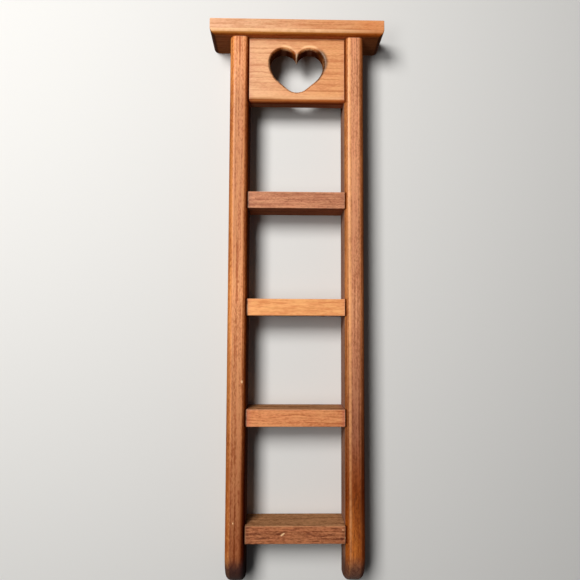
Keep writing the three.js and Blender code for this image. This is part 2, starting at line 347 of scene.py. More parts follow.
def panel():
    low, high = BOX["heart_panel"]
    middle = (low + high) / 2
    thickness = high.y - low.y
    shares = rim_shares(heart_outline(0), (high.x - low.x) / 2, (high.z - low.z) / 2)
    shape = bmesh.new()
    outer, inner = [], []
    for place in stations(thickness, [ROUTER, HEART_FLARE, FINE_ARRIS], [FINE_ARRIS]):
        y = low.y + place
        behind = drawn_in(thickness - place, FINE_ARRIS)
        ease = drawn_in(place, FINE_ARRIS) + behind
        left, right, top = low.x + ease, high.x - ease, high.z - ease
        bottom = low.z + drawn_in(place, ROUTER) + behind
        outer.append([
            shape.verts.new((left + (right - left) * across, y, bottom + (top - bottom) * up))
            for across, up in shares
        ])
        flare = drawn_in(place, HEART_FLARE) + behind
        heart = heart_outline(flare)
        inner.append([shape.verts.new((middle.x + x, y, middle.z + z)) for x, z in heart])
    skins = list(zip(outer, outer[1:])) + list(zip(inner, inner[1:]))
    skins += [(outer[0], inner[0]), (outer[-1], inner[-1])]
    for near, far in skins:
        strip(shape, near, far)
    return as_piece("heart_panel_finished", shape)


heart_panel = panel()
print("points in the panel:", len(heart_panel.data.vertices))

# %% [markdown]
# ## Sockets and keyholes
# The boards are held by blind dowels, and the rails hang on two screws through keyhole slots in their
# backs. The dowels are in the frame, so a socket is a cylinder a little larger than its dowel, cut out
# of every board that the dowel enters. A boolean cut is right here, since the walls are plain.

# %% Cutting helpers
SOCKET_SLACK = 0.25 * MM
SOCKET_END_ROOM = 0.5 * MM
SOCKET_SIDES = 32
DOWEL_NAMES = sorted(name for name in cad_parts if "dowel" in name)


def carve(board, cutter):
    """Cuts one closed mesh out of a board, and drops the cutter."""
    cut = board.modifiers.new("cut", "BOOLEAN")
    cut.operation = "DIFFERENCE"
    cut.solver = "EXACT"
    cut.object = cutter
    view_layer = bpy.context.evaluated_depsgraph_get()
    done = bpy.data.meshes.new_from_object(board.evaluated_get(view_layer))
    board.modifiers.remove(cut)
    board.data = done
    bpy.data.objects.remove(cutter)


def socket_cutter(dowel):
    """A cylinder round a dowel, with room at its sides and its ends."""
    low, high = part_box(dowel)
    size = high - low
    lies_across = size.x > size.z
    length = max(size) + 2 * SOCKET_END_ROOM
    radius = min(size) / 2 + SOCKET_SLACK
    turn = Matrix.Rotation(math.pi / 2, 4, "Y") if lies_across else Matrix.Identity(4)
    rings = []
    for end in (-length / 2, length / 2):
        points = arc((0, 0), radius, 0, math.pi * 2, SOCKET_SIDES)[:-1]
        rings.append([(low + high) / 2 + turn.to_3x3() @ Vector((x, y, end)) for x, y in points])
    return stacked("socket_cutter", rings)


def enters(dowel, board):
    """Whether a dowel's box and a board's box share space."""
    (low, high), (board_low, board_high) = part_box(dowel), BOX[board]
    return all(low[axis] < board_high[axis] and high[axis] > board_low[axis] for axis in range(3))


# %% Bore the sockets
boards = {**rails, "top_cap": top_cap, "heart_panel": heart_panel, **shelves}
for name, board in boards.items():
    entering = [dowel for dowel in DOWEL_NAMES if enters(dowel, name)]
    for dowel in entering:
        carve(board, socket_cutter(dowel))
    print(name, "has", len(entering), "sockets and", len(board.data.polygons), "faces")

# %% Cut the keyholes
KEYHOLE_DROP = 34 * MM
KEYHOLE_RUN = 11 * MM
KEYHOLE_HEAD = 10 * MM
KEYHOLE_NECK = 5.5 * MM
KEYHOLE_LIP = 4 * MM
KEYHOLE_DEPTH = 10 * MM
CLEAR = 1 * MM
SLOT_STEPS = 12


def slot_cutter(centre, width, run, front, back):
    """A slot with round ends, standing up from its lower centre, between two depths."""
    x, z = centre
    outline = arc((x, z + run), width / 2, 0, math.pi, SLOT_STEPS)
    outline += arc((x, z), width / 2, math.pi, math.pi * 2, SLOT_STEPS)
    if run == 0:
        outline = arc((x, z), width / 2, 0, math.pi * 2, 2 * SLOT_STEPS)[:-1]
    return stacked("slot_cutter", [[(px, y, pz) for px, pz in outline] for y in (front, back)])


for name, board in rails.items():
    low, high = BOX[name]
    mouth = ((low.x + high.x) / 2, high.z - KEYHOLE_DROP - KEYHOLE_RUN)
    deep, out = high.y - KEYHOLE_DEPTH, high.y + CLEAR
    carve(board, slot_cutter(mouth, KEYHOLE_HEAD, 0, deep, out))
    carve(board, slot_cutter(mouth, KEYHOLE_NECK, KEYHOLE_RUN, deep, out))
    carve(board, slot_cutter(mouth, KEYHOLE_HEAD, KEYHOLE_RUN, deep, high.y - KEYHOLE_LIP))
    print(name, "now has", len(board.data.polygons), "faces")

# %% [markdown]
# ## Shading of the edges
# A mesh of flat faces would show each strip of a round. Smooth shading hides them, but it must stop at
# real corners, so edges sharper than a set angle stay hard. Weighted normals then keep the wide faces
# perfectly flat, and leave all of the turning to the rounds.

# %% Smooth the rounds
HARD_EDGE = math.radians(32)
for board in boards.values():
    board.data.shade_smooth()
    board.data.set_sharp_from_angle(angle=HARD_EDGE)
    weighted = board.modifiers.new("flat_faces_stay_flat", "WEIGHTED_NORMAL")
    weighted.keep_sharp = True
    weighted.weight = 80
print("shaded boards:", len(boards))

# %% [markdown]
# ## Writing shader maths in Python
# A wood finish is mostly arithmetic: distances from the heart of the tree, noise, thresholds. Drawing
# that as nodes by hand hides the idea, so a small class wraps one output of a node, and Python's own
# signs add the Math nodes. Everything else goes through one method that adds any node at all.

# %% Sockets as numbers
class Shade:
    """An output of a shader node. Sums and products of it add the Math nodes they need."""

    def __init__(self, finish, socket):
        self.finish = finish
        self.socket = socket

    def __add__(self, other):
        return self.finish.maths("ADD", self, other)

    def __sub__(self, other):
        return self.finish.maths("SUBTRACT", self, other)

    def __rsub__(self, other):
        return self.finish.maths("SUBTRACT", other, self)

    def __mul__(self, other):
        return self.finish.maths("MULTIPLY", self, other)

    def __truediv__(self, other):
        return self.finish.maths("DIVIDE", self, other)

    def __pow__(self, power):
        return self.finish.maths("POWER", self, power)

    def __abs__(self):
        return self.finish.maths("ABSOLUTE", self)

    def between(self, low, high):
        """0 below low and 1 above high, with a soft step in between."""
        inputs = {"Value": self, "From Min": low, "From Max": high}
        return self.finish.node("ShaderNodeMapRange", {"interpolation_type": "SMOOTHSTEP"}, inputs)

    def band(self, start, full, fading, end):
        """0 up to a start and from an end on, and 1 in the middle."""
        return self.between(start, full) * (1 - self.between(fading, end))

    def outputs(self):
        """All outputs of the same node, such as the three axes of a place."""
        return [Shade(self.finish, socket) for socket in self.socket.node.outputs]

    __radd__ = __add__
    __rmul__ = __mul__


# %% A tree of nodes that is being made
class Finish:
    """A tree of shader nodes under construction, with one method that adds any node."""

    def __init__(self, tree, seed=0):
        self.tree = tree
        self.seed = seed
        tree.nodes.clear()

    def node(self, kind, settings=None, inputs=None, output=0):
        """Adds a node: its settings first, then the values or links of its sockets."""
        added = self.tree.nodes.new(kind)
        for key, value in (settings or {}).items():
            if key == "stops":
                self.set_stops(added.color_ramp, value)
            else:
                setattr(added, key, value)
        for key, value in (inputs or {}).items():
            if isinstance(value, Shade):
                self.tree.links.new(value.socket, added.inputs[key])
            else:
                added.inputs[key].default_value = value
        return Shade(self, added.outputs[output]) if added.outputs else None

    def set_stops(self, ramp, stops):
        """Gives a ramp its stops, each a place and a grey."""
        while len(ramp.elements) < len(stops):
            ramp.elements.new(0.5)
        for element, (place, grey) in zip(ramp.elements, stops):
            element.position = place
            element.color = (grey, grey, grey, 1)

    def maths(self, operation, *values):
        return self.node("ShaderNodeMath", {"operation": operation}, dict(enumerate(values)))

    def noise(self, x, y, z, detail=2):
        """Noise from 0 to 1 whose features are about one unit wide, different for every seed."""
        place = self.node("ShaderNodeCombineXYZ", {}, {"X": x, "Y": y, "Z": z})
        inputs = {"Vector": place, "W": self.seed, "Scale": 1, "Detail": detail}
        return self.node("ShaderNodeTexNoise", {"noise_dimensions": "4D"}, inputs)

    def mix(self, share, first, second, blend="MIX"):
        """One colour turning into another. A colour mix has its colours on sockets 6 and 7."""
        settings = {"data_type": "RGBA", "blend_type": blend}
        return self.node("ShaderNodeMix", settings, {0: share, 6: first, 7: second}, output=2)

    def axes(self, output):
        """A coordinate of the surface, as its three parts."""
        whole = self.node("ShaderNodeTexCoord", output=output)
        return self.node("ShaderNodeSeparateXYZ", {}, {0: whole}).outputs()

    def bump(self, height):
        """What a height in millimetres does to the light."""
        return self.node("ShaderNodeBump", {}, {"Strength": 1, "Distance": MM, "Height": height})

    def show(self, shader):
        self.node("ShaderNodeOutputMaterial", {}, {"Surface": shader})


# %% Tones and materials
def tone(red, green, blue):
    """A colour as a screen shows it, from 0 to 255, turned into linear light."""
    linear = []
    for share in (red / 255, green / 255, blue / 255):
        linear.append(share / 12.92 if share <= 0.04045 else ((share + 0.055) / 1.055) ** 2.4)
    return linear + [1]


def new_material(name, seed=0):
    """A material and the tree of nodes that makes it."""
    material = bpy.data.materials.new(name)
    material.use_nodes = True
    return material, Finish(material.node_tree, seed)


print("a mid grey of 128 is", round(tone(128, 128, 128)[0], 3), "in linear light")

# %% [markdown]
# ## Wood as a solid
# Wood could be painted on each face, but then the end of a board wouldn't continue its side. Here the
# figure fills the board: every point gets a distance from the heart of the tree, which gives the
# growth rings, and noise stretched along the grain, which gives fibres and pores. Each board gets its
# own seed, tones and distance from the heart of the tree.

# %% Places in the timber
class Timber:
    """Places in a board, in millimetres: in the room, and along, across and down into its grain."""

    def __init__(self, finish, grain_runs_up):
        self.finish = finish
        self.places = [axis / MM for axis in finish.axes("Object")]
        x, y, z = self.places
        self.along, self.across, self.down = (z, x, y) if grain_runs_up else (x, z, y)

    def noise(self, length, width, detail=2):
        """Noise drawn out along the grain, with features of this length and width."""
        return self.finish.noise(self.along / length, self.across / width, self.down / width, detail)

    def strokes(self, length, width, share):
        """Dark strokes along the grain. The larger the share, the more of them there are."""
        return self.noise(length, width, detail=1).between(0.72 - 0.3 * share, 0.8 - 0.3 * share)


# %% Rings
RING_TONES = [(0, 0), (0.6, 0.15), (0.86, 1), (0.94, 0.8), (1, 0)]


def growth_rings(timber, wood):
    """The dark late wood of the rings, from 0 to 1. A ring darkens slowly and ends at a sharp line."""
    finish, ring = timber.finish, wood["ring"]
    sway = timber.noise(wood["sway_length"], 30, detail=1) - 0.5
    waver = timber.noise(14, 8) - 0.5
    off = timber.across + sway * wood["sway"] + waver * wood["waver"] - wood["pith_across"]
    under = timber.down - wood["pith_down"]
    distance = (off * off + under * under) ** 0.5
    crowding = finish.noise(distance / (3 * ring), 0, 0, detail=1) * (1.5 * ring)
    turn = finish.maths("FRACT", (distance + crowding) / ring)
    lines = finish.node("ShaderNodeValToRGB", {"stops": RING_TONES}, {"Fac": turn})
    fading = timber.noise(45, 9, detail=1).between(0.35, 0.65)
    return lines * (0.25 + fading * 0.75)


# %% [markdown]
# ## One board's look
# A finish is made in steps, in the order in which it came about: the wood grew, it was varnished, it
# aged, it was worn. Several steps also paint light and shade into the colour: highlights along the
# rounds, and shade on rounds, sides, undersides, ends and low on the rails. Each step tints or covers
# the colour so far where a mask, a number from 0 to 1, says so. A mask reads places, or which way the
# mesh faces, so it follows every round by itself, and nothing has to be painted by hand.

# %% What the steps share
FULLY_TURNED = (0.97, 0.9995)
LEVEL = (0.6, 0.95)
WORN_PATCH = 6


class Look:
    """Places and directions on one board, its colour so far, and all values of its wood by name.

    facing is 1 on the front and 0 on the sides, and away grows towards the side painted in shade.
    """

    def __init__(self, finish, wood):
        vars(self).update(wood)
        self.finish = finish
        self.wood = wood
        upright = wood["grain_runs_up"]
        self.timber = Timber(finish, upright)
        self.places = self.timber.places
        self.x, self.y, self.z = self.places
        self.beside = abs(self.x)
        self.right, self.back, self.up = finish.axes("Normal")
        self.left = 0 - self.right
        self.down = 0 - self.up
        self.away = self.right if upright else self.down
        turned = (1 - self.right * self.right) ** 0.5 if upright else abs(self.back)
        self.facing = finish.maths("MINIMUM", turned, 1)
        self.patchy = finish.noise(*[place / WORN_PATCH for place in self.places]).between(0.3, 0.62)
        self.ridge_kept = 1

    def tint(self, share, factor):
        self.colour = self.finish.mix(share, self.colour, [*factor, 1], blend="MULTIPLY")

    def cover(self, share, top_tone):
        self.colour = self.finish.mix(share, self.colour, top_tone)


def on_round(turned, start, end):
    """Grows while a round turns away from the front, and stops where it has become a plain side."""
    return turned.band(start, end, *FULLY_TURNED)


# %% [markdown]
# ## The wood as it grew
# Rings, fibres, flecks, mottle and broad patches all shift the tone of wood, each at its own scale.
# Their sum picks a tone between the board's pale and its dark one, which a single noise never could.
# Open pores and long dark hairs lie over it.

# %% Grown wood
ROSY = [1, 0.95, 0.97]
MOTTLE = (16, 3)
PATCH = (70, 16)
HAIR = (120, 0.55)
FLECK_WIDTH = 1.2


def grow(look):
    finish, timber = look.finish, look.timber
    look.fibres = timber.noise(look.fibre_length, look.fibre_width)
    mottle = timber.noise(*MOTTLE)
    patches = timber.noise(*PATCH, detail=1)
    flecks = timber.noise(look.fleck_length, FLECK_WIDTH, detail=1)
    look.depth = 0.45 + (growth_rings(timber, look.wood) - 0.2) * look.ring_strength
    parts = {"fibre": look.fibres, "mottle": mottle, "patch": patches, "fleck": flecks}
    for kind, part in parts.items():
        look.depth = look.depth + (part - 0.5) * look.wood[kind + "_strength"]
    look.colour = finish.mix(look.depth.between(0, 1), look.pale, look.dark)
    look.tint(mottle.between(0.4, 0.6), ROSY)
    hairs = timber.strokes(*HAIR, look.hair_share)
    pores = timber.strokes(look.pore_length, look.pore_width, look.pore_share)
    pores = pores * (0.35 + patches.between(0.4, 0.6) * 0.65)
    look.strokes = finish.maths("MAXIMUM", hairs * 0.55, pores)
    look.cover(look.strokes * look.pore_strength, look.pore)


# %% [markdown]
# ## Brushed varnish and painted shade
# The boards were varnished by brush. The film is thicker on the rounds and turns them amber. The amber
# also carries painted shade: it is deepest on rounds turned to the right or down, and on the left
# rounds it is partly painted shade too. Tops are covered with a darker, duller tone, and undersides
# get painted shade.

# %% Varnish and painted shade
DULL_PALE = tone(214, 156, 108)
DULL_DARK = tone(142, 92, 58)
DEEPEST_PAINTED_SHADE = [0.95, 0.86, 0.7]


def brush_and_shade(look):
    look.sheltered = on_round(look.away, *look.shelter)
    look.shine = look.facing.between(0.25, 0.75) * (1 - look.sheltered * 0.85)
    # Painted shade: rounds turned to the right or down are darkened in amber, most where they turn most.
    look.tint(look.sheltered, look.deep_amber)
    look.tint(on_round(look.away, 0.55, 0.95), DEEPEST_PAINTED_SHADE)
    # Amber on the left rounds, partly painted shade.
    look.tint(on_round(look.left, 0.2, 0.9), look.amber)
    dulled = look.finish.mix(look.depth.between(0, 1), DULL_PALE, DULL_DARK)
    look.cover(look.up.between(*LEVEL) * look.dulled_top, dulled)
    # Painted shade on the undersides.
    look.tint(look.down.between(*LEVEL), look.underside)


# %% [markdown]
# ## Sides and ends
# The flat sides of the rails get a cooler tint, a painted reflection, and a gold tint is painted where
# the left round sets in, under its painted highlight. The right face of the left rail gets painted
# shade. The boards between them get painted shade towards their ends, and a painted shadow in the
# groove on the left. The cap and the panel are paler on the left of their fronts. The cap's ends are
# end grain, which drinks varnish like a bundle of straws and turns nearly black; the extra dark on
# their downward faces and under the right end is painted shade.

# %% Sides and ends
HIGHLIGHT_GOLD = [1, 0.96, 0.7]
RAIL_SIDE_REFLECTION = [0.64, 0.8, 1.12]
FAR_END = [1.02, 0.89, 0.78]
SOAKED_END_AND_SHADE = tone(98, 62, 48)
BOARD_HALF = 53.5
END_LENGTH = 7


def paint_light_on_rail_sides(look):
    # A gold tint where the left round sets in: painted light colour under the painted highlight.
    look.tint(on_round(look.left, 0.02, 0.35), HIGHLIGHT_GOLD)
    # A cooler tint on the flat sides: a painted reflection.
    look.tint(1 - look.facing.between(0.05, 0.4), RAIL_SIDE_REFLECTION)
    # Painted shade on the right faces; only the left rail's is darkened.
    look.tint(look.right.between(0.95, 0.999), look.right_side)


def shade_board_ends(look):
    from_end = BOARD_HALF - look.beside
    inside = from_end.between(-1, 0)
    ends = (1 - from_end.between(0, END_LENGTH)) * inside
    # Painted shade towards the ends, where the boards meet the rails.
    look.tint(ends * look.end_share, look.end_tint)
    groove = (1 - (look.x + BOARD_HALF).between(0.5, 1.7)) * inside
    # A painted shadow of the left rail in the groove at the left end.
    look.cover(groove * look.groove, look.grime)


def pale_left_fronts(look):
    look.tint((1 - look.x.between(-60, 45)) * look.facing.between(0.2, 0.8), look.sapwood)


def soak_and_shade_cap_ends(look):
    look.tint(look.x.between(55, 80), FAR_END)
    sideways = abs(look.right).between(0.03, 0.38) * (1 - look.facing.between(0.15, 0.6))
    # End grain darkens the cap's ends; the extra dark on their downward faces is painted shade.
    soaked = sideways * (0.5 + look.down.between(0.05, 0.3) * 0.42)
    # Painted shade under the right end of the cap, towards its back.
    shade_under_right_end = look.down.between(*LEVEL) * look.x.between(58, 92) * look.y.between(-40, 0)
    look.cover(look.finish.maths("MAXIMUM", soaked, shade_under_right_end * 0.6), SOAKED_END_AND_SHADE)


# %% [markdown]
# ## The cut of the heart
# The wall of the heart was sawn across the grain, so it is dark, with painted shade that deepens
# towards the back. The routed edge in front of it drank the varnish in streaks. Over the tops of the
# lobes that edge gets painted light, and the cusp between them a pale cover. The panel right under
# the cap gets painted shade.

# %% Sawn wall and routed edge
SHADE_UNDER_CAP = [0.86, 0.82, 0.8]
SAWN_WALL_AND_SHADE = [0.5, 0.5, 0.56]
END_GRAIN = [0.4, 0.34, 0.28]
PAINTED_LIGHT_END_GRAIN = tone(246, 184, 122)
PALE_CUSP = tone(214, 176, 142)


def cut_heart(look):
    finish, facing, z = look.finish, look.facing, look.z
    # Painted shade on the panel right under the cap.
    look.tint(z.between(-21, -12), SHADE_UNDER_CAP)
    within = (1 - look.beside.between(35, 36)) * z.band(-76, -75, -16, -15)
    look.ridge_kept = 1 - within
    deeper_shade = 0.25 + look.y.between(-33, -24) * 0.75
    # Dark sawn end grain, with painted shade that deepens towards the back.
    look.tint(within * (1 - facing.between(0, 0.5)) * deeper_shade, SAWN_WALL_AND_SHADE)
    streaks = finish.noise(look.x / 1.8, look.y / 8, z / 1.8, detail=1).between(0.4, 0.6)
    turned = within * facing.band(0, 0.15, 0.86, 0.99)
    look.crown = look.beside.between(3, 9) * look.x.band(-19, -13, 19, 25)
    lit = z.between(-34, -27) * look.crown
    look.tint(turned * (1 - lit * 0.85) * (0.45 + streaks * 0.55), END_GRAIN)
    # Painted light on the routed edge over the tops of the lobes.
    look.cover(turned * lit * (0.2 + streaks * 0.4), PAINTED_LIGHT_END_GRAIN)
    cusp = within * (1 - look.beside.between(0.6, 1.8)) * z.between(-38, -33)
    look.cover(cusp * (1 - facing.between(0.9, 0.99)) * 0.75, PALE_CUSP)


# %% [markdown]
# ## Painted light and shade on the panel's edges
# A painted highlight runs as a lip over both lobes, and the right shoulder gets painted shade, as if
# its routed edge were wider there. Both follow the outline, so the shader works out how far a point
# lies from its arcs, a lobe and a cheek on each side. The panel's lower round gets a painted highlight
# where it sets in, and is dull with painted shade, darker on the left and at its corners.

# %% Lip, shoulder and lower round
LOBE = (14.7, 19)
CHEEK = (2.58, 31.12)
LOBE_UP = -36.6
SHOULDER_SHADE = [0.24, 0.3, 0.4]
LOW_LEFT_SHADE = [0.56, 0.44, 0.32]
LOW_ROUND_SHADE = [0.8, 0.8, 0.92]


def outside_arc(look, rise, arc_place, arc_radius):
    """How far a point lies outside an arc whose centre stands this far from the middle."""
    across = look.beside - arc_place
    return (across * across + rise * rise) ** 0.5 - arc_radius


def paint_heart_rim_light(look):
    rise = look.z - LOBE_UP
    lobe = outside_arc(look, rise, *LOBE)
    rim = lobe + (outside_arc(look, rise, *CHEEK) - lobe) * (1 - rise.between(-0.5, 0.5))
    lip_highlight = rim.band(-1.8, -0.4, 0.3, 2.4) * look.z.between(-25, -20)
    # A painted highlight along the tops of the lobes.
    look.cover(lip_highlight * look.crown * 0.9, look.polished)
    narrowed = rim + (1 - look.z.between(-52, -34)) * 3
    # Painted shade on the right shoulder.
    shoulder = look.x.between(17, 25) * (1 - look.z.between(-25, -18))
    shoulder = shoulder * rim.between(-4.5, -2.5) * (1 - narrowed.between(-0.4, 3.2))
    look.tint(shoulder * 0.9, SHOULDER_SHADE)


def paint_lower_round_light(look):
    # A painted highlight where the lower round sets in.
    highlight_band = look.z.band(-83, -80, -77.5, -72.5) * look.facing.between(0.9, 1)
    look.cover(highlight_band * 0.4, look.polished)
    # Painted shade on the lower round: darker on its left part, dull all along, and at its corners.
    look.tint(look.away.band(0.05, 0.2, 0.45, 0.65) * (1 - look.x.between(-42, 4)), LOW_LEFT_SHADE)
    look.tint(on_round(look.away, 0.45, 0.85), LOW_ROUND_SHADE)
    corners = look.beside.between(47, 53) * (1 - look.z.between(-80, -70))
    look.tint(corners, look.end_tint)


# %% [markdown]
# ## Age and painted shade on the rails
# Each rail has its own ramp of darkness along its height, weaker on flat sides: partly the uneven
# tone of wood that darkened with age, partly painted shade where the light falls off towards the
# feet. The ramp also deepens the painted shade on the rounds. Low down the left round of the left rail
# is spared that darkening, as painted light, and its right flank gets painted shade. The right rail
# has an orange stain with ragged streaks.

# %% Age, stains and painted shade
RAIL_FOOT = 613
RAIL_LENGTH = 604.5
LOW_STRETCH = (-520, -440)
FOOT_TIP = (-600, -572)
RAGGED_STREAK = (16, 1.6, 0.6)
FLANK_SHADE = [0.6, 0.46, 0.34]


def age_rail(look):
    height_share = (look.z + RAIL_FOOT) / RAIL_LENGTH
    # Along the height: partly the wood's uneven age, partly painted shade where the light falls off.
    age = look.finish.node("ShaderNodeValToRGB", {"stops": look.ageing}, {"Fac": height_share})
    look.shine = look.shine * (1 - age * 0.7)
    look.low_down = 1 - look.z.between(*LOW_STRETCH)
    look.not_side = look.facing.between(0.1, 0.5)
    # Low down the left round is spared: painted light.
    lit_left_round = look.left.between(0.05, 0.35) * look.low_down * look.left_spared
    look.age = age * (0.3 + look.not_side * 0.7) * (1 - lit_left_round)
    look.tint(look.age, look.aged)
    # Deeper painted shade on the rounds turned to the right, growing with the ramp.
    look.tint(look.age * look.sheltered * look.round_age, look.deep_amber)


def stain_and_shade_low_rail(look):
    stained = look.low_down * look.z.between(*FOOT_TIP) * look.not_side
    look.tint(stained, look.low_tint)
    ragged = look.timber.strokes(*RAGGED_STREAK) * stained
    look.cover(ragged * look.low_streaks, look.pore)
    # Painted shade on the right flank of the left rail, low down.
    flank_shade = look.x.between(-60.6, -58) * look.low_down * look.not_side
    look.tint(flank_shade * look.flank_share, FLANK_SHADE)


# %% [markdown]
# ## Dirt, painted shade and painted highlights
# The notch beside each board gets dirt and painted shade, and the tips of the feet get painted shade.
# A painted highlight, partly polish from hands, runs along the ridge of each round, and on the right
# rail also along a crest just inside its left round.

# %% Dirt, painted shade and painted highlights
SEAM_DIRT_AND_SHADE = [0.4, 0.24, 0.12]
SEAM_OUT = 0.8
SEAM_IN = 0.4
RIDGE_FADE = 240
RIDGE_WIDTH = 0.09
FLAT_FRONT = (0.985, 0.9999)


def beside_boards(z):
    """1 where a rail runs past the end of the panel or of a shelf."""
    total = 0
    for name in BOARD_NAMES[3:]:
        low, high = BOX[name][0].z / MM, BOX[name][1].z / MM
        total = total + z.band(low - SEAM_OUT, low + SEAM_IN, high - SEAM_IN, high + SEAM_OUT)
    return total


def paint_seam_and_foot_shade(look):
    # Dirt and painted shade in the notch beside each board.
    look.tint(beside_boards(look.z) * (1 - look.beside.between(54.8, 56.6)), SEAM_DIRT_AND_SHADE)
    # Painted shade at the tips of the feet.
    look.cover((1 - look.z.between(-593, -574)) * look.grime_share, look.grime)


def paint_crest_highlight(look):
    look.ridge_kept = look.z.between(look.ridge_end, look.ridge_end + RIDGE_FADE) * (1 - look.age * 0.4)
    crest = look.x.band(57, 58.4, 59.6, 61) * (1 - look.back.between(-0.4, 0.2))
    crest = crest * look.facing.between(0.5, 0.8) * (0.55 + look.patchy * 0.45) * (1 - look.age * 0.7)
    # A painted highlight on the crest inside the right rail's left round.
    look.cover(crest * look.z.between(-610, -520) * look.crest, look.polished)


def paint_ridge_highlights(look):
    reach = look.ridge_reach
    line = look.facing.band(reach, reach + RIDGE_WIDTH, *FLAT_FRONT) * look.ridge_share
    line = line * (1 - (1 - look.patchy) * look.ridge_patch) * look.ridge_kept
    line = line * (1 - look.right.between(0, 0.15) * 0.6)
    # A painted highlight along each round's ridge, partly polish; weaker where the round turns right, and
    # fading to the right on the cap.
    look.cover(line * (1 - look.x.between(0, 110) * look.ridge_fade), look.polished)


# %% [markdown]
# ## Wear, and the whole material
# Last come rubbed arrises, dark pits and pale chips. The gloss is a coat and not the wood's own, so
# pores and rubbed places can stay dull. The bump is the slow swell of a brushed film, with fibres and
# pores in it.

# %% The varnished wood itself
RAW_WOOD = tone(252, 208, 156)
RUBBED_WIDTH = 1.3
RAG_SIZE = 1.2
RAG_DEPTH = 1.1
SWELL = (34, 22)


def near_arris(look):
    """1 on the square edges of a board's box, where two of its faces are near."""
    maths, box = look.finish.maths, look.box
    gaps = []
    for place, low, high in zip(look.places, box[0] / MM, box[1] / MM):
        gaps.append(maths("MINIMUM", place - low, high - place))
    a, b, c = gaps
    larger = maths("MAXIMUM", a, b)
    second = maths("MAXIMUM", maths("MINIMUM", a, b), maths("MINIMUM", larger, c))
    return 1 - second.between(0, RUBBED_WIDTH)


def chip(look, centre, size):
    """1 in a small ragged hollow round a place."""
    total = (look.finish.noise(*[place / RAG_SIZE for place in look.places]) - 0.5) * RAG_DEPTH
    for place, middle, reach in zip(look.places, centre, size):
        share = (place - middle) / reach
        total = total + share * share
    return 1 - total.between(0.6, 1.2)


def wear(look):
    look.worn = near_arris(look) * look.patchy
    look.cover(look.worn * look.rubbed_share, look.rubbed)
    for centre, size in look.pits:
        look.cover(chip(look, centre, size) * 0.7, look.pore)
    for centre, size in look.chips:
        look.cover(chip(look, centre, size) * 0.75, RAW_WOOD)


def varnished(name, wood):
    """The material of one board."""
    material, finish = new_material(name, wood["seed"])
    look = Look(finish, wood)
    for step in (grow, brush_and_shade, *wood["steps"], wear):
        step(look)
    height = look.timber.noise(*SWELL, detail=1) * 0.12
    finish.show(finish.node("ShaderNodeBsdfPrincipled", {}, {
        "Base Color": look.colour,
        "Roughness": 0.36 + look.strokes * 0.2 + (look.fibres - 0.5) * 0.12 + look.worn * 0.2,
        "Specular IOR Level": 0,
        "Coat Weight": 0.02 + look.shine * (0.3 - look.strokes * 0.15 - look.worn * 0.2),
        "Coat Roughness": 0.26,
        "Normal": finish.bump(height + look.fibres * 0.012 - look.strokes * 0.02),
    }))
    return material


# %% [markdown]
# ## Eight boards from different planks
# The photograph shows that no two boards are alike. What they share stands in one dictionary, and each
# board only states how it differs.

# %% What all boards share
# Several of these values paint light and shade: the tints of undersides, of board ends and of rounds
# turned away, the groove and foot tones, and the highlight tone.
PLAIN_BOARD = dict(
    grain_runs_up=False, pore=tone(96, 46, 24), amber=[0.8, 0.66, 0.45],
    deep_amber=[0.78, 0.6, 0.27], rubbed=tone(210, 158, 124), rubbed_share=0.55,
    polished=tone(254, 200, 150), ridge_reach=0.76, ridge_share=0.85, ridge_patch=0.3,
    ridge_fade=0, shelter=(0.05, 0.6), grime=tone(62, 34, 22), end_tint=[0.86, 0.74, 0.86],
    pits=[], chips=[], underside=[0.8, 0.68, 0.62], dulled_top=0.4, ring=6, pith_across=60,
    pith_down=90, sway_length=70, sway=7, waver=2.5, fibre_length=40, fibre_width=1.4,
    pore_length=5, pore_width=0.5, pore_share=0.25, hair_share=0.1, pore_strength=0.4,
    ring_strength=0.35, fibre_strength=1.5, fleck_length=3.2, fleck_strength=0.9,
    mottle_strength=0.6, patch_strength=0.6,
)
NICK_DEPTH = 2


def nicks(front, *spots):
    """Knocks in a front face, each given by its place across and up, its width and its height."""
    return [((x, front, z), (width, NICK_DEPTH, height)) for x, z, width, height in spots]


# %% [markdown]
# ## The wood of the rails
# Both are straight-grained with long dark hairs. The left one has deep amber painted shade on its
# rounds, and the right one is rosier, with a stained foot.

# %% Rails
# Besides the wood, several values here paint light and shade: the side tints, the ramp along the height,
# the flank, the spared left round and the crest and ridge highlights.
RAIL_BOARD = dict(
    PLAIN_BOARD,
    steps=(paint_light_on_rail_sides, age_rail, stain_and_shade_low_rail, paint_seam_and_foot_shade, paint_crest_highlight, paint_ridge_highlights),
    grain_runs_up=True, hair_share=0.6, pore_share=0.3, ring=3.2, ring_strength=0.6,
    pith_across=25, pith_down=130, sway_length=160, fibre_length=90, fibre_width=1.5,
    fibre_strength=2, fleck_strength=1.6, amber=[0.74, 0.64, 0.48],
    deep_amber=[0.46, 0.25, 0.05], ridge_reach=0.9, ridge_share=0.6, ridge_patch=0.5,
    grime=tone(58, 40, 40), right_side=[1, 1, 1], low_tint=[1, 1, 1],
    flank_share=0, left_spared=0, low_streaks=0, crest=0,
)
WOODS = {}
WOODS["left_rail"] = dict(
    RAIL_BOARD, seed=2.3, pale=tone(246, 172, 118), dark=tone(190, 112, 66),
    aged=[0.30, 0.18, 0.13], ridge_end=-600, right_side=[0.42, 0.38, 0.44],
    polished=tone(246, 160, 96), flank_share=1, shelter=(0.1, 0.82), left_spared=0.65,
    round_age=0.9, grime_share=0.85,
    ageing=[(0.07, 0.88), (0.17, 0.7), (0.4, 0.36), (0.52, 0.06), (0.63, 0.4), (0.87, 0.46), (0.95, 0.05)],
    chips=nicks(-40, (-58.2, -393.3, 1, 1.7), (-66.3, -541.9, 0.6, 1)),
)
